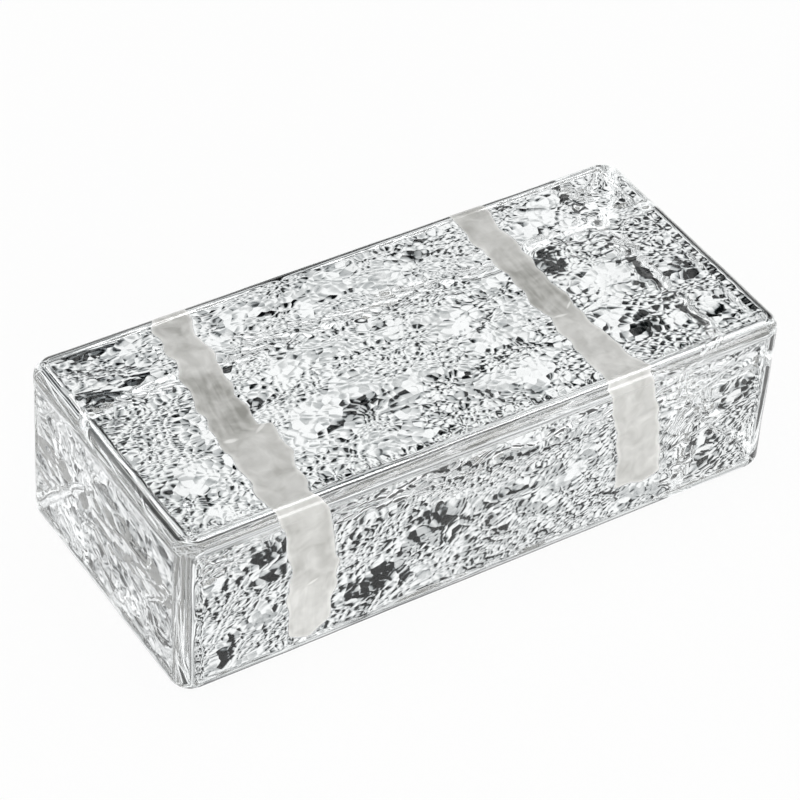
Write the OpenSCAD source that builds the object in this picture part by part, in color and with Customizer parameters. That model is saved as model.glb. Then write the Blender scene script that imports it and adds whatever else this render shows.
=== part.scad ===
// Solid cast glass brick, lying on its bed.
// The origin is on the bed, at the middle of the length and the width.
// X runs along the length, Y across the width and Z up.
// One piece of clear glass: the cast has no hollow, seam or lid.

/* [Brick] */
// Length from end to end
brick_length = 203; // [150:1:300]
// Width from long side to long side
brick_width = 92; // [60:1:150]
// Height from the bed to the top
brick_height = 57; // [30:1:100]

/* [Rounding] */
// Radius of the four upright corners, left by the mould
corner_radius = 7; // [6.5:0.5:15]
// Radius of the edges round the top, fire-polished
top_edge_radius = 4.5; // [1:0.5:6]
// Radius of the edges round the bed, left by the mould
bed_edge_radius = 4; // [1:0.5:6]

/* [Hidden] */
$fn = 96;

// Centres of the upright corners
corner_x = brick_length / 2 - corner_radius;
corner_y = brick_width / 2 - corner_radius;
// How far a cutting shape runs past the surface that it cuts
cut_margin = 1;

// What a round of the given radius takes off a square corner
module corner_waste(radius) {
    difference() {
        square(radius + cut_margin);
        circle(radius);
    }
}

// Half of an upright section, from its middle out to the wall, with both edges round
module wall_section(reach) {
    difference() {
        square([reach, brick_height]);
        translate([reach - top_edge_radius, brick_height - top_edge_radius])
            corner_waste(top_edge_radius);
        translate([reach - bed_edge_radius, bed_edge_radius])
            mirror([0, 1]) corner_waste(bed_edge_radius);
    }
}

// The run of constant section between the end walls
module long_run() {
    rotate([90, 0, 90])
        linear_extrude(2 * corner_x, center = true) {
            wall_section(brick_width / 2);
            mirror([1, 0]) wall_section(brick_width / 2);
        }
}

// The wall at the +X end, between its two upright corners
module end_wall() {
    translate([corner_x, 0, 0])
        rotate([90, 0, 0])
            linear_extrude(2 * corner_y, center = true)
                wall_section(corner_radius);
}

// The upright corner at +X and +Y, where the three roundings run into one another
module upright_corner() {
    translate([corner_x, corner_y, 0])
        rotate_extrude(angle = 90)
            wall_section(corner_radius);
}

module brick() {
    color([0.86, 0.89, 0.89, 0.45])
        union() {
            long_run();
            for (end = [0, 1]) mirror([end, 0, 0]) {
                end_wall();
                for (side = [0, 1]) mirror([0, side, 0]) upright_corner();
            }
        }
}

brick();
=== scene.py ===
"""Solid cast glass brick: its looks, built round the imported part."""

import math

import bpy
import numpy as np
from mathutils import Matrix, Vector, noise


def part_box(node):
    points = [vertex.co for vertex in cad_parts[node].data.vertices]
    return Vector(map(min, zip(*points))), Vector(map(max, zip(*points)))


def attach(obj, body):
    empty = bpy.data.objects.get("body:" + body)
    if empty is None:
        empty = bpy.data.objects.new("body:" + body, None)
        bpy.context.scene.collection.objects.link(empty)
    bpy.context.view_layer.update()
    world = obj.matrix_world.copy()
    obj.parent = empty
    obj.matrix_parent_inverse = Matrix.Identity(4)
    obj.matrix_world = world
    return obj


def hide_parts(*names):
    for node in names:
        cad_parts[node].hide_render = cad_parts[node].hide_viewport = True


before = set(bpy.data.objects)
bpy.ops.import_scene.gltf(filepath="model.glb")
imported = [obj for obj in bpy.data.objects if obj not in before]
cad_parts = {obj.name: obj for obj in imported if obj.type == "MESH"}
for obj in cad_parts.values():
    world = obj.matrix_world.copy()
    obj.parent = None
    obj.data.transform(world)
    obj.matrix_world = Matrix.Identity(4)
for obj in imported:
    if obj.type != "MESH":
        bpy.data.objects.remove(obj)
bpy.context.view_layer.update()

MM = 0.001
low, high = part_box("brick")
LENGTH, WIDTH, HEIGHT = (high - low) / MM
HALF_LENGTH, HALF_WIDTH = LENGTH / 2, WIDTH / 2

# Roundings of the cast, in millimetres
CORNER_RADIUS = 7.0
TOP_EDGE_RADIUS = 4.5
BED_EDGE_RADIUS = 4.0
# Spacing of the grid, in millimetres: on the faces, near their edges, and how far from an edge is near
GRID_STEP, EDGE_STEP, EDGE_REACH = 1.3, 0.5, 8.0

# Camera: angles in degrees, distances in metres, lens and picture in pixels, sensor in millimetres
VIEW_AZIMUTH, VIEW_ELEVATION, VIEW_ROLL = -34.75, 41.05, 3.97
VIEW_DISTANCE, SIDE_SHIFT, UP_SHIFT = 0.99346, 0.00201, -0.00376
FOCAL_PIXELS, PICTURE_PIXELS, SENSOR_WIDTH = 3383.5, 800, 36


# Colours and nodes

def linear(hex_colour):
    """Turns an sRGB hex colour into linear RGBA."""
    parts = [int(hex_colour[i:i + 2], 16) / 255 for i in (1, 3, 5)]
    return tuple(c / 12.92 if c <= 0.04045 else ((c + 0.055) / 1.055) ** 2.4 for c in parts) + (1.0,)


def add_node(tree, kind, links=None, **settings):
    """Adds a node, sets its sockets and properties, and links other nodes' sockets into it."""
    node = tree.nodes.new(kind)
    for name, value in settings.items():
        setattr(node, name, value)
    for name, value in (links or {}).items():
        socket = node.inputs[name]
        if isinstance(value, bpy.types.NodeSocket):
            tree.links.new(value, socket)
        else:
            socket.default_value = value
    return node


def calculate(tree, operation, *values):
    """Works out one number from others."""
    return add_node(tree, "ShaderNodeMath", dict(enumerate(values)), operation=operation).outputs[0]


def calculate_vector(tree, operation, *values):
    """Works out a vector from others, or the number that a length or distance is."""
    node = add_node(tree, "ShaderNodeVectorMath", dict(enumerate(values)), operation=operation)
    return node.outputs["Value" if operation in ("LENGTH", "DISTANCE") else "Vector"]


def map_range(tree, value, start, end, first, last, **settings):
    """Turns the range from start to end into that from first to last."""
    links = {"Value": value, "From Min": start, "From Max": end, "To Min": first, "To Max": last}
    return add_node(tree, "ShaderNodeMapRange", links, **settings).outputs[0]


def add_noise(tree, place, scale, detail=0.0, distortion=0.0):
    """Soft lumps, from 0 to 1."""
    links = {"Vector": place, "Scale": scale, "Detail": detail, "Distortion": distortion}
    return add_node(tree, "ShaderNodeTexNoise", links).outputs["Fac"]


def mix_colours(tree, share, first, second):
    """Goes from the first colour to the second as the share goes from 0 to 1."""
    return add_node(tree, "ShaderNodeMix", {0: share, 6: first, 7: second}, data_type="RGBA").outputs[2]


def read_kept(tree, name, kind="Vector"):
    """Reads what store() has kept on the mesh."""
    return add_node(tree, "ShaderNodeAttribute", attribute_name=name).outputs[kind]


def new_material(name):
    """An empty material and its tree of nodes."""
    material = bpy.data.materials.new(name)
    material.use_nodes = True
    material.node_tree.nodes.clear()
    return material, material.node_tree


# Camera at the photograph's viewing angle

def set_camera():
    azimuth, elevation, roll = (math.radians(v) for v in (VIEW_AZIMUTH, VIEW_ELEVATION, VIEW_ROLL))
    back = Vector((math.sin(azimuth) * math.cos(elevation), -math.cos(azimuth) * math.cos(elevation),
                   math.sin(elevation)))
    right = (-back).cross(Vector((0, 0, 1))).normalized()
    up = right.cross(-back)
    across = math.cos(roll) * right + math.sin(roll) * up
    upward = -math.sin(roll) * right + math.cos(roll) * up
    middle = (low + high) / 2
    camera = bpy.data.objects.new("camera", bpy.data.cameras.new("camera"))
    bpy.context.collection.objects.link(camera)
    pose = Matrix((across, upward, back)).transposed().to_4x4()
    pose.translation = middle + back * VIEW_DISTANCE - SIDE_SHIFT * across - UP_SHIFT * upward
    camera.matrix_world = pose
    camera.data.sensor_width = SENSOR_WIDTH
    camera.data.lens = FOCAL_PIXELS * SENSOR_WIDTH / PICTURE_PIXELS
    bpy.context.scene.camera = camera


# The cast's surface as a grid that follows the part's roundings

def sample(start, end, step):
    """Places from start to end, about one step apart."""
    count = max(2, round((end - start) / step) + 1)
    return list(np.linspace(start, end, count))


def sample_face(start, end, reach):
    """Places across a face, closer together near both of its edges."""
    near, far = start + reach, end - reach
    first, last = sample(start, near, EDGE_STEP), sample(far, end, EDGE_STEP)
    return first[:-1] + sample(near, far, GRID_STEP)[:-1] + last


def upright_rows():
    """Rows of the side wall from the bed up: how far each is set in, and its height."""
    rows = []
    quarter = math.pi / 2
    for angle in sample(0, quarter, EDGE_STEP / BED_EDGE_RADIUS):
        rows.append((BED_EDGE_RADIUS * (1 - math.sin(angle)), BED_EDGE_RADIUS * (1 - math.cos(angle))))
    for z in sample_face(BED_EDGE_RADIUS, HEIGHT - TOP_EDGE_RADIUS, EDGE_REACH - BED_EDGE_RADIUS)[1:-1]:
        rows.append((0.0, z))
    for angle in sample(0, quarter, EDGE_STEP / TOP_EDGE_RADIUS):
        rows.append((TOP_EDGE_RADIUS * (1 - math.cos(angle)),
                     HEIGHT - TOP_EDGE_RADIUS * (1 - math.sin(angle))))
    return rows


def rounding_centre(x, y):
    """The point of the plan that the cast rounds about, nearest to a place."""
    reach_x, reach_y = HALF_LENGTH - CORNER_RADIUS, HALF_WIDTH - CORNER_RADIUS
    return min(max(x, -reach_x), reach_x), min(max(y, -reach_y), reach_y)


def outline_columns():
    """Columns round the plan: the centre that each rounds about, and its direction outwards."""
    xs, ys = (sample_face(-half, half, EDGE_REACH) for half in (HALF_LENGTH, HALF_WIDTH))
    ring = [(x, -HALF_WIDTH) for x in xs[:-1]] + [(HALF_LENGTH, y) for y in ys[:-1]]
    ring += [(x, HALF_WIDTH) for x in xs[:0:-1]] + [(-HALF_LENGTH, y) for y in ys[:0:-1]]
    columns = []
    for x, y in ring:
        cx, cy = rounding_centre(x, y)
        size = math.hypot(x - cx, y - cy)
        columns.append((cx, cy, (x - cx) / size, (y - cy) / size))
    return columns, xs, ys


def cap_point(x, y, radius):
    """A point inside the flat of the top or bed, squeezed into the round at its corners."""
    cx, cy = rounding_centre(x, y)
    dx, dy = x - cx, y - cy
    reach = max(abs(dx), abs(dy))
    if reach == 0:
        return cx, cy
    scale = radius / CORNER_RADIUS * reach / math.hypot(dx, dy)
    return cx + dx * scale, cy + dy * scale


def cast_grid():
    """Points and faces of the smooth cast, closed all round."""
    rows = upright_rows()
    columns, xs, ys = outline_columns()
    ring, nx, ny = len(columns), len(xs), len(ys)
    points = []
    for inset, z in rows:
        for cx, cy, dx, dy in columns:
            points.append((cx + (CORNER_RADIUS - inset) * dx, cy + (CORNER_RADIUS - inset) * dy, z))
    faces = []
    for r in range(len(rows) - 1):
        for c in range(ring):
            d = (c + 1) % ring
            faces.append((r * ring + c, r * ring + d, (r + 1) * ring + d, (r + 1) * ring + c))

    def ring_index(i, j):
        """Where a border point of the top's or bed's grid stands in the ring of columns."""
        if j == 0:
            return i
        if i == nx - 1:
            return nx - 1 + j
        if j == ny - 1:
            return nx - 1 + ny - 1 + (nx - 1 - i)
        if i == 0:
            return 2 * (nx - 1) + ny - 1 + (ny - 1 - j)
        return None

    last_row = (len(rows) - 1) * ring
    for first, z, radius, upward in ((0, 0.0, CORNER_RADIUS - BED_EDGE_RADIUS, False),
                                     (last_row, HEIGHT, CORNER_RADIUS - TOP_EDGE_RADIUS, True)):
        index = {}
        for j in range(ny):
            for i in range(nx):
                at = ring_index(i, j)
                if at is None:
                    index[i, j] = len(points)
                    points.append(cap_point(xs[i], ys[j], radius) + (z,))
                else:
                    index[i, j] = first + at % ring
        for j in range(ny - 1):
            for i in range(nx - 1):
                quad = (index[i, j], index[i + 1, j], index[i + 1, j + 1], index[i, j + 1])
                faces.append(quad if upward else quad[::-1])
    return np.array(points), faces


# Relief of the faces, in millimetres

# Smooth rim round the relief: of the long faces, beside the right end, and of the ends; the width of its
# border, and how far the relief lies below it
RIM_WIDTH, RIGHT_RIM, END_RIM, RIM_BORDER, SINK = 4.6, 7.5, 5.8, 1.2, 0.5
# Waves of the skin: size along the length, size across it, height; and how far apart their noise is taken
WAVES = [(20.0, 13.0, 0.7), (8.0, 5.0, 0.25)]
WAVE_SHIFT = 7
# The bed lay on a flat plate, and the ends and rims are smoother: shares of the relief
BED_SHARE, END_SHARE, RIM_SHARE = 0.3, 0.6, 0.2
# How close together the lens-like cells stand along X, Y and Z: longer on the long faces, wider on the ends
FACE_CELLS, END_CELLS = (0.85, 1.0, 1.0), (1.0, 0.5, 0.8)
# Pleats along the front and right of the top and the right of the front: spacing, height, distance from the
# edge, and width; how far, over what size and from what start they wander; and how near to a face is on it
PLEAT_SPACING, PLEAT_HEIGHT, PLEAT_PLACE, PLEAT_WIDTH = 4.6, 0.15, 6.0, 1.6
WANDER, WANDER_SIZE, WANDER_START = 1.5, 9.0, 3
ON_FACE = 0.01


def flatness(points):
    """1 on the rippled panels of the cast's faces, 0 on the smooth rim and edges round them."""
    gap_x = HALF_LENGTH - np.abs(points[:, 0])
    gap_y = HALF_WIDTH - np.abs(points[:, 1])
    gap_z = np.minimum(points[:, 2], HEIGHT - points[:, 2])
    rim = np.where(gap_x <= np.minimum(gap_y, gap_z), END_RIM, RIM_WIDTH)
    beside_end = np.where(points[:, 0] > 0, RIGHT_RIM, RIM_WIDTH)
    margins = np.sort(np.stack([gap_x - beside_end, gap_y - rim, gap_z - rim], 1), axis=1)
    t = np.clip(margins[:, 1] / RIM_BORDER + 0.5, 0, 1)
    return t * t * (3 - 2 * t)


def wave_height(point):
    """Height of the rippled skin at a point."""
    x, y, z = point
    return sum(noise.noise(Vector((x / length + WAVE_SHIFT * i, y / width, z / width))) * height
               for i, (length, width, height) in enumerate(WAVES))


def pleat_height(point):
    """Height of the pleats at a point."""
    x, y, z = point
    borders = []
    if z > HEIGHT - ON_FACE:
        borders = [(x, y + HALF_WIDTH), (y, HALF_LENGTH - x)]
    elif y < ON_FACE - HALF_WIDTH:
        borders = [(z, HALF_LENGTH - x)]
    height = 0.0
    for place, gap in borders:
        place += WANDER * noise.noise(Vector((place / WANDER_SIZE, gap / WANDER_SIZE, WANDER_START)))
        fade = math.exp(-((gap - PLEAT_PLACE) / PLEAT_WIDTH) ** 2)
        height += PLEAT_HEIGHT * fade * math.sin(2 * math.pi * place / PLEAT_SPACING)
    return height


# Frosted bands

# By their run in millimetres, from the back of the top (92) over the top front edge (0) and down the front
# (below 0): where the left and right sides lie along the length, where the band stops, and how pale and how
# streaky it is
BANDS = [
    {"left": [(88.8, -62.1), (57, -67.1), (30.7, -71.6), (28.6, -70.2), (5.5, -72.9), (-0.7, -71.1),
              (-11.9, -68.8), (-26.2, -66.7), (-49.5, -67.2)],
     "right": [(87.9, -51.0), (68.3, -53.3), (47.7, -56.3), (35.4, -57.8), (34.6, -53.4), (17.6, -56.2),
               (3.4, -58.3), (-1.6, -56.8), (-15, -54), (-25.5, -51.8), (-36.6, -53), (-50.9, -52)],
     "stop": -50.5,
     "tone": [(92, 0.45), (64, 0.42), (58, 0.18), (36, 0.18), (32, 0.45), (0, 0.52), (-18, 0.52),
              (-29, 0.45), (-32, 0.72), (-50, 0.66)],
     "streak": [(92, 0.15), (66, 0.25), (58, 1.0), (37, 1.0), (33, 0.1), (-29, 0.1), (-33, 0.5),
                (-50, 0.5)]},
    {"left": [(88, 40.2), (60, 41), (30, 40.3), (2, 39.1), (-0.1, 37.3), (-13.3, 41.6), (-25.5, 43),
              (-40.1, 44.7)],
     "right": [(88, 52.4), (60, 51), (30, 50.9), (2, 53.4), (0.5, 52.2), (-16.1, 57.1), (-28.8, 59.5),
               (-41, 60.3)],
     "stop": -42.5,
     "tone": [(92, 0.45), (62, 0.4), (58, 0.16), (36, 0.18), (32, 0.5), (0, 0.6), (-20, 0.6), (-42, 0.58)],
     "streak": [(92, 0.15), (66, 0.25), (58, 1.0), (37, 1.0), (33, 0.1), (-42, 0.1)]},
]
# Painted highlights: bright glints painted into the frosting at the bands' steps, in millimetres and radians:
# place along the length, run, half length, half width, slope
PAINTED_GLINTS = [(-67.5, 33.5, 2.6, 0.9, -0.2), (-57.5, 34.0, 3.0, 0.7, 0.5), (44.0, 34.5, 2.6, 0.6, -0.2),
           (49.0, 37.5, 2.4, 0.4, 0.7), (-59.5, -30.5, 2.2, 0.6, 0.3)]
# In millimetres: how thick a skin carries the bands, how far inside and outside them depth is told, and how
# round their ends are; and the paleness outside them
BAND_SKIN, BAND_REACH, BAND_END, TONE_OUTSIDE = 3.0, 6.0, 1.5, 0.6


def along(steps, where):
    """Values of a list of (place, value) steps at the places asked for."""
    places, values = zip(*sorted(steps))
    return np.interp(where, places, values)


def band_zones(points):
    """How far each point lies inside a frosted band, in millimetres, with how pale and streaky it is there,
    and its place across and along the band."""
    x, y, z = points.T
    from_front, from_top = y + HALF_WIDTH, HEIGHT - z
    run = from_front - from_top
    on_skin = np.minimum(from_front, from_top) < BAND_SKIN
    depth, tone, streak = np.full(len(x), -BAND_REACH), np.full(len(x), TONE_OUTSIDE), np.zeros(len(x))
    across = x.copy()
    for band in BANDS:
        left, right = along(band["left"], run), along(band["right"], run)
        end = BAND_END * (2 * (x - left) / (right - left) - 1) ** 2
        inside = np.minimum(np.minimum(x - left, right - x), run - band["stop"] - end)
        inside = np.where(on_skin, np.clip(inside, -BAND_REACH, BAND_REACH), -BAND_REACH)
        nearer = inside > depth
        tone = np.where(nearer, along(band["tone"], run), tone)
        streak = np.where(nearer, along(band["streak"], run), streak)
        across = np.where(nearer, x - (left + right) / 2, across)
        depth = np.maximum(depth, inside)
    return np.stack([depth, tone, streak], 1), np.stack([across, run, 0 * run], 1)


# The brick

def store(mesh, name, kind, values):
    """Keeps a value for each point of a mesh, for the material to read."""
    layer = mesh.attributes.new(name, kind, "POINT")
    part = "vector" if kind == "FLOAT_VECTOR" else "value"
    layer.data.foreach_set(part, np.asarray(values, float).ravel())


def make_brick(material):
    points, faces = cast_grid()
    mesh = bpy.data.meshes.new("brick_glass")
    mesh.from_pydata((points * MM).tolist(), [], faces)
    mesh.update()
    normals = np.empty(len(points) * 3)
    mesh.vertex_normals.foreach_get("vector", normals)
    normals = normals.reshape(-1, 3)
    ends = HALF_LENGTH - np.abs(points[:, 0]) < CORNER_RADIUS / 2
    flat = flatness(points)
    flat *= np.where(points[:, 2] < BED_EDGE_RADIUS / 2, BED_SHARE, 1.0)
    flat *= np.where(ends, END_SHARE, 1.0)
    bands, band_place = band_zones(points)
    heights = np.array([wave_height(p) for p in points])
    heights = (heights - SINK) * (RIM_SHARE + (1 - RIM_SHARE) * flat)
    heights += np.array([pleat_height(p) for p in points])
    moved = points + normals * heights[:, None]
    mesh.vertices.foreach_set("co", (moved * MM).ravel())
    store(mesh, "relief", "FLOAT", flat)
    store(mesh, "cell_scale", "FLOAT_VECTOR", np.where(ends[:, None], END_CELLS, FACE_CELLS))
    store(mesh, "band", "FLOAT_VECTOR", bands)
    store(mesh, "band_place", "FLOAT_VECTOR", band_place)
    store(mesh, "cast_normal", "FLOAT_VECTOR", normals)
    mesh.shade_smooth()
    mesh.materials.append(material)
    mesh.update()
    brick = bpy.data.objects.new("brick_glass", mesh)
    bpy.context.collection.objects.link(brick)
    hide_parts("brick")
    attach(brick, "root")


# Glass

GLASS_COLOUR, FROST_GREY, FROST_WHITE = "#fbfdfd", "#96958f", "#f4f3f0"
# Frosting: size of the lumps along its sides in millimetres, their detail, how far they shift the sides, and
# where in that shifted depth it begins and is full
LUMP_SIZE, LUMP_DETAIL, LUMP_SHIFT = 7, 0.3, 4.5
FROST_BEGIN, FROST_FULL = 1.9, 2.4
# How much of the frosting lets light through, its roughness, and the share of the ripples left in it
FROST_CLEAR, FROST_ROUGHNESS, FROST_RIPPLES = 0.15, 0.4, 0.35
# Its cloud: soft patches and streaks, sizes in millimetres, with detail and distortion; and the streaks'
# strength
PATCH_SIZE, PATCH_DETAIL, PATCH_DISTORTION = 6, 2.0, 0.6
STREAK_WIDTH, STREAK_LENGTH, STREAK_DETAIL, STREAK_DISTORTION = 1.8, 12, 1.5, 0.5
STREAK_STRENGTH = 0.8
# Its painted light leak, a paler rim painted along its sides: from and to where, and how pale; the painted
# glints: the share that is brightest, and how pale; and the cloud that is greyest and whitest
PAINTED_LEAK_BEGIN, PAINTED_LEAK_END, PAINTED_LEAK = 2.2, 3.4, 0.3
PAINTED_GLINT_MIDDLE, PAINTED_GLINT_PALE = 0.5, 0.45
CLOUD_GREY, CLOUD_WHITE = 0.5, 1.5
# Ripples and lens-like cells finer than the grid, in millimetres: size and height
RIPPLE_SIZE, RIPPLE_HEIGHT = 6.0, 0.35
CELL_SIZE, CELL_HEIGHT = 2.6, 0.25
# Quiet patches of the relief: size in millimetres, stretch and detail; the noise that is quiet and that is
# lively, and the share of the ripples' height left in the quiet
QUIET_SIZE, QUIET_STRETCH, QUIET_DETAIL = 12.0, (0.6, 1.0, 1.0), 1.0
QUIET_NOISE, LIVELY_NOISE, QUIET_SHARE = 0.38, 0.58, 0.3


def frosting(tree, place):
    """Where the glass is frosted, with lumpy sides, and the colour of the frosting there, with painted glints
    at its steps and a painted light leak, a paler rim, along its sides.
    """
    band = add_node(tree, "ShaderNodeSeparateXYZ", {0: read_kept(tree, "band")})
    depth, tone, streak = band.outputs
    band_place = read_kept(tree, "band_place")
    lumps = add_noise(tree, place, 1 / (LUMP_SIZE * MM), LUMP_DETAIL)
    edge = calculate(tree, "MULTIPLY_ADD", lumps, LUMP_SHIFT, depth)
    frost = map_range(tree, edge, FROST_BEGIN, FROST_FULL, 0.0, 1.0, interpolation_type="SMOOTHSTEP")

    patches = add_noise(tree, place, 1 / (PATCH_SIZE * MM), PATCH_DETAIL, PATCH_DISTORTION)
    cloud = calculate(tree, "ADD", patches, tone)
    streak_place = calculate_vector(tree, "MULTIPLY", band_place, (1 / STREAK_WIDTH, 1 / STREAK_LENGTH, 1))
    streaks = add_noise(tree, streak_place, 1.0, STREAK_DETAIL, STREAK_DISTORTION)
    streaks = calculate(tree, "MULTIPLY", calculate(tree, "SUBTRACT", streaks, 0.5), streak)
    cloud = calculate(tree, "MULTIPLY_ADD", streaks, STREAK_STRENGTH, cloud)
    # Painted light leak: a paler rim painted along the frosting's sides
    cloud = calculate(tree, "ADD", cloud, map_range(tree, edge, PAINTED_LEAK_BEGIN, PAINTED_LEAK_END, PAINTED_LEAK, 0.0))

    # Painted highlights: bright glints painted into the frosting, placed by the length and the band's run
    by_length = calculate_vector(tree, "MULTIPLY", place, (1 / MM, 0, 0))
    by_run = calculate_vector(tree, "MULTIPLY", band_place, (0, 1, 0))
    painted_glint_place = calculate_vector(tree, "ADD", by_length, by_run)
    for x, run, half_length, half_width, slope in PAINTED_GLINTS:
        links = {"Vector": painted_glint_place, "Location": (x, run, 0), "Rotation": (0, 0, slope),
                 "Scale": (half_length, half_width, 1)}
        painted_glint = add_node(tree, "ShaderNodeMapping", links, vector_type="TEXTURE").outputs[0]
        far = calculate_vector(tree, "LENGTH", painted_glint)
        cloud = calculate(tree, "ADD", cloud, map_range(tree, far, PAINTED_GLINT_MIDDLE, 1.0, PAINTED_GLINT_PALE, 0.0))
    pale = map_range(tree, cloud, CLOUD_GREY, CLOUD_WHITE, 0.0, 1.0)
    return frost, mix_colours(tree, pale, linear(FROST_GREY), linear(FROST_WHITE))


def ripple_height(tree, place, frost):
    """Height of the small lenses in millimetres: less in quiet patches and frosting, none on the rims."""
    stretched = calculate_vector(tree, "MULTIPLY", place, read_kept(tree, "cell_scale"))
    broad = add_noise(tree, stretched, 1 / (RIPPLE_SIZE * MM))
    broad = calculate(tree, "MULTIPLY", broad, RIPPLE_HEIGHT)
    cells = add_node(tree, "ShaderNodeTexVoronoi", {"Vector": stretched, "Scale": 1 / (CELL_SIZE * MM)})
    dome = calculate(tree, "POWER", cells.outputs["Distance"], 2.0)
    ripples = calculate(tree, "MULTIPLY_ADD", dome, -CELL_HEIGHT, broad)
    quiet_place = calculate_vector(tree, "MULTIPLY", place, QUIET_STRETCH)
    quiet = add_noise(tree, quiet_place, 1 / (QUIET_SIZE * MM), QUIET_DETAIL)
    quiet = map_range(tree, quiet, QUIET_NOISE, LIVELY_NOISE, QUIET_SHARE, 1.0)
    calm = map_range(tree, frost, 0.0, 1.0, 1.0, FROST_RIPPLES)
    share = calculate(tree, "MULTIPLY", read_kept(tree, "relief", "Fac"), calm)
    share = calculate(tree, "MULTIPLY", share, quiet)
    return calculate(tree, "MULTIPLY", share, ripples)


def clear_cast_glass():
    """Clear soda-lime glass, cast in a rippled mould: colourless, with sharp small lenses all over its faces
    and polished edges, and with bands frosted to a pale, cloudy grey under a glossy skin; painted glints and
    a painted paler rim of light are part of the frosting's colour."""
    material, tree = new_material("clear_cast_soda_lime_glass")
    place = add_node(tree, "ShaderNodeTexCoord").outputs["Object"]
    frost, frost_colour = frosting(tree, place)
    colour = mix_colours(tree, frost, linear(GLASS_COLOUR), frost_colour)
    clear = map_range(tree, frost, 0.0, 1.0, 1.0, FROST_CLEAR)
    rough = map_range(tree, frost, 0.0, 1.0, 0.0, FROST_ROUGHNESS)

    # The lenses are on the side where light enters: what it meets from within is the smooth cast
    bump = add_node(tree, "ShaderNodeBump", {"Height": ripple_height(tree, place, frost), "Distance": MM,
                                             "Strength": 1.0})
    cast = add_node(tree, "ShaderNodeVectorTransform", {0: read_kept(tree, "cast_normal")},
                    vector_type="NORMAL", convert_from="OBJECT", convert_to="WORLD")
    within = calculate_vector(tree, "MULTIPLY", cast.outputs[0], (-1.0, -1.0, -1.0))
    within = calculate_vector(tree, "NORMALIZE", within)
    from_within = add_node(tree, "ShaderNodeNewGeometry").outputs["Backfacing"]
    normal = add_node(tree, "ShaderNodeMix", {0: from_within, 4: bump.outputs["Normal"], 5: within},
                      data_type="VECTOR")
    shader = add_node(tree, "ShaderNodeBsdfPrincipled", {
        "Base Color": colour, "Roughness": rough, "IOR": 1.5, "Transmission Weight": clear,
        "Normal": normal.outputs[1], "Coat Weight": frost, "Coat Roughness": 0.04})
    add_node(tree, "ShaderNodeOutputMaterial", {"Surface": shader.outputs[0]})
    return material


# Studio: a pale table that the glass looks through, in a white room with grey and dark gaps

# Floor, in metres: radius, radius of the bend at its edge, height of the wall, gap under the brick, radius of
# its inner ring; then its sides and the steps of the bend
FLOOR_RADIUS, FLOOR_BEND, FLOOR_RISE, FLOOR_GAP = 1.2, 0.3, 0.301, 0.00005
FLOOR_INNER = 0.3
FLOOR_SIDES, BEND_STEPS = 64, 8
PAPER_COLOUR = "#f4f4f2"
# Share of plain white where the paper is seen
PAPER_WHITE = 0.92
# Room: scale of its gaps and of the zones that shift their tone, how far they shift it, and where both begin
ROOM_SCALE, ZONE_SCALE, ZONE_SHIFT = 20.0, 6.0, 0.35
ROOM_START = (3.0, 1.0, 2.0)
ROOM_TONES = [(0.35, "#0c0f10"), (0.395, "#6a6f71"), (0.42, "#b0b3b4"), (0.55, "#dcdddd"), (0.6, "#ffffff")]
# White flats beside the gaps: the middle of the gaps, how far from it the flats begin and are full, how much
# they shift the tone, and their brightness
GAPS_MIDDLE = (0.43, 0.62, 0.657)
FLATS_BEGIN, FLATS_FULL, FLATS_WHITER, FLATS_LIGHT = 0.25, 0.5, 0.15, 1.25
# Dim caps straight above and below: the steepness where they begin and are full, and their brightness
CAP_BEGIN, CAP_FULL, CAP_LIGHT = 0.95, 0.98, 0.15
# Dark panels that draw the edges: direction, size, and whether it is on all sides; where their soft border
# begins, as a share of the size, and their brightness
DARK_PANELS = [
    ((-0.22, 0.6, -0.77), 0.18, False), ((0.08, 0.63, 0.77), 0.15, True), ((0.4, -0.42, -0.81), 0.2, False),
    ((0.8, 0.53, 0.27), 0.28, False), ((0.77, 0.56, -0.26), 0.28, False), ((0.88, -0.45, -0.1), 0.2, False),
    ((-0.25, 0.72, 0.63), 0.18, False), ((-0.25, 0.72, -0.63), 0.18, False),
    ((0.4, 0.81, 0.42), 0.14, False), ((0.69, 0.15, 0.7), 0.16, False), ((0.42, 0.88, -0.25), 0.12, False),
]
PANEL_BORDER, PANEL_LIGHT = 0.8, 0.06
# Name, azimuth from +Y towards +X, elevation, distance, size, brightness, and whether it lights more than
# the highlights on the edges
SOFT_BOXES = [
    ("overhead_soft_box", 0, 89, 1.5, (0.9, 0.9), 1.3, True),
    ("front_soft_box", 200, 25, 1.6, (1.2, 0.8), 1.8, True),
    ("right_edge_light", 90, 65, 1.5, (0.4, 0.9), 10.0, False),
    ("front_edge_light", 149, 30, 1.3, (0.5, 0.4), 6.0, False),
    ("back_edge_light", -13, 50, 1.5, (0.9, 0.1), 8.0, False),
]


def studio_paper():
    """White studio paper: white where it is seen, lit and shaded a little by the brick. Light that has come
    through the glass passes it, so that the glass shows the room."""
    material, tree = new_material("white_studio_paper")
    path = add_node(tree, "ShaderNodeLightPath").outputs
    seen = calculate(tree, "MAXIMUM", path["Is Camera Ray"], path["Is Glossy Ray"])
    amount = calculate(tree, "MULTIPLY", seen, PAPER_WHITE)
    diffuse = add_node(tree, "ShaderNodeBsdfDiffuse", {"Color": linear(PAPER_COLOUR)})
    white = add_node(tree, "ShaderNodeEmission", {"Color": (1, 1, 1, 1), "Strength": 1.0})
    paper = add_node(tree, "ShaderNodeMixShader", {0: amount, 1: diffuse.outputs[0], 2: white.outputs[0]})
    clear = add_node(tree, "ShaderNodeBsdfTransparent")
    surface = add_node(tree, "ShaderNodeMixShader", {0: path["Is Transmission Ray"], 1: paper.outputs[0],
                                                     2: clear.outputs[0]})
    add_node(tree, "ShaderNodeOutputMaterial", {"Surface": surface.outputs[0]})
    return material


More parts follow.
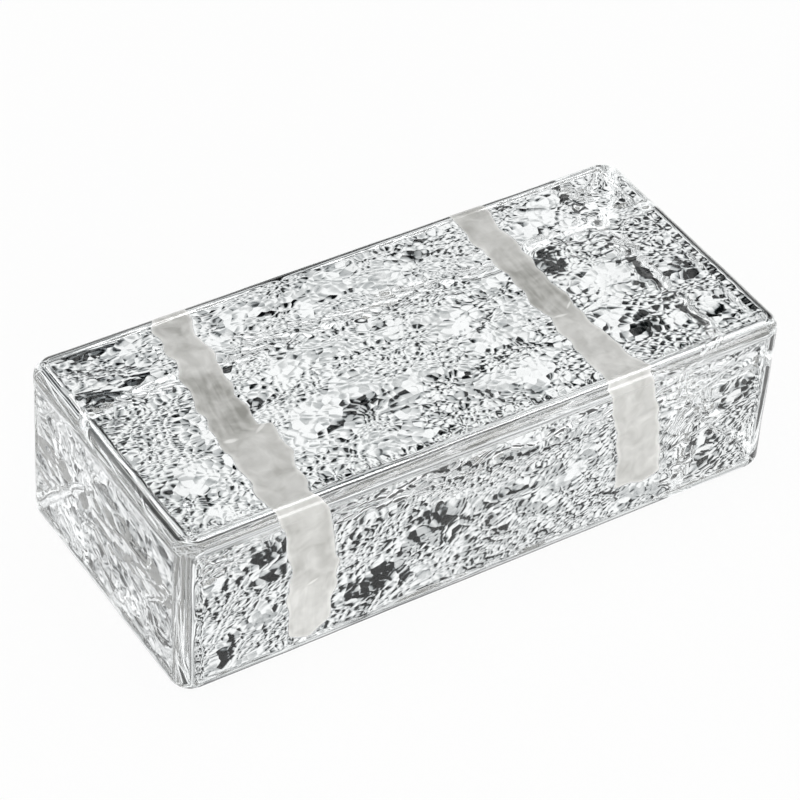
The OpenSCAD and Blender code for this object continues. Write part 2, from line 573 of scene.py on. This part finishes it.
def make_floor():
    """Paper that lies under the brick and curves up to a low wall all round."""
    profile = [(FLOOR_INNER, 0.0), (FLOOR_RADIUS, 0.0)]
    profile += [(FLOOR_RADIUS + FLOOR_BEND * math.sin(a), FLOOR_BEND * (1 - math.cos(a)))
                for a in np.linspace(0, math.pi / 2, BEND_STEPS + 1)[1:]]
    profile.append((FLOOR_RADIUS + FLOOR_BEND, FLOOR_RISE))
    sides = FLOOR_SIDES
    turns = [2 * math.pi * i / sides for i in range(sides)]
    points = [(0.0, 0.0, 0.0)]
    points += [(r * math.cos(t), r * math.sin(t), z) for r, z in profile for t in turns]
    faces = [(0, 1 + i, 1 + (i + 1) % sides) for i in range(sides)]
    for ring in range(len(profile) - 1):
        first, second = 1 + ring * sides, 1 + (ring + 1) * sides
        for i in range(sides):
            j = (i + 1) % sides
            faces.append((first + i, second + i, second + j, first + j))
    mesh = bpy.data.meshes.new("floor")
    mesh.from_pydata(points, [], faces)
    mesh.shade_smooth()
    mesh.materials.append(studio_paper())
    floor = bpy.data.objects.new("floor", mesh)
    floor.location.z = low.z - FLOOR_GAP
    bpy.context.collection.objects.link(floor)


def soft_box(name, azimuth, elevation, distance, size, radiance, key):
    """A soft box aimed at the brick, of the given brightness as the glass shows it."""
    light = bpy.data.lights.new(name, "AREA")
    light.shape = "RECTANGLE"
    light.size, light.size_y = size
    light.energy = radiance * math.pi * size[0] * size[1]
    lamp = bpy.data.objects.new(name, light)
    a, e = math.radians(azimuth), math.radians(elevation)
    lamp.location = Vector((math.sin(a) * math.cos(e), math.cos(a) * math.cos(e), math.sin(e))) * distance
    lamp.rotation_euler = (-lamp.location).to_track_quat("-Z", "Y").to_euler()
    # Unseen through the glass, where it would be a hard white shape, but mirrored in its edges
    lamp.visible_transmission = False
    lamp.visible_diffuse = key
    bpy.context.collection.objects.link(lamp)


def set_studio():
    world = bpy.data.worlds.new("studio")
    bpy.context.scene.world = world
    world.use_nodes = True
    tree = world.node_tree
    tree.nodes.clear()
    place = add_node(tree, "ShaderNodeTexCoord").outputs["Generated"]
    mirrored = calculate_vector(tree, "ABSOLUTE", place)

    # Tone of the gaps and flats
    gaps_place = calculate_vector(tree, "ADD", mirrored, ROOM_START)
    zones = add_noise(tree, gaps_place, ZONE_SCALE)
    gaps = add_noise(tree, gaps_place, ROOM_SCALE)
    tone = calculate(tree, "MULTIPLY_ADD", zones, ZONE_SHIFT, gaps)
    tone = calculate(tree, "SUBTRACT", tone, ZONE_SHIFT / 2)
    aside = calculate_vector(tree, "DISTANCE", mirrored, GAPS_MIDDLE)
    flats = map_range(tree, aside, FLATS_BEGIN, FLATS_FULL, 0.0, 1.0)
    tone = calculate(tree, "MULTIPLY_ADD", flats, FLATS_WHITER, tone)
    ramp = add_node(tree, "ShaderNodeValToRGB", {"Fac": tone})
    elements = ramp.color_ramp.elements
    while len(elements) < len(ROOM_TONES):
        elements.new(0.5)
    for element, (position, colour) in zip(elements, ROOM_TONES):
        element.position, element.color = position, linear(colour)

    # Brightness: the caps, the flats and the dark panels
    up = add_node(tree, "ShaderNodeSeparateXYZ", {0: place}).outputs["Z"]
    caps = map_range(tree, calculate(tree, "ABSOLUTE", up), CAP_BEGIN, CAP_FULL, 1.0, CAP_LIGHT)
    light = calculate(tree, "MULTIPLY", caps, map_range(tree, flats, 0.0, 1.0, 1.0, FLATS_LIGHT))
    for middle, size, all_sides in DARK_PANELS:
        off = calculate_vector(tree, "DISTANCE", mirrored if all_sides else place, middle)
        panel = map_range(tree, off, PANEL_BORDER * size, size, PANEL_LIGHT, 1.0)
        light = calculate(tree, "MULTIPLY", light, panel)
    room = add_node(tree, "ShaderNodeBackground", {"Color": ramp.outputs[0], "Strength": light})
    add_node(tree, "ShaderNodeOutputWorld", {"Surface": room.outputs[0]})
    for box in SOFT_BOXES:
        soft_box(*box)


set_camera()
make_floor()
set_studio()
make_brick(clear_cast_glass())

scene = bpy.context.scene
scene.view_settings.view_transform = "Standard"
scene.cycles.max_bounces = 24
scene.cycles.glossy_bounces = 20
scene.cycles.transmission_bounces = 20
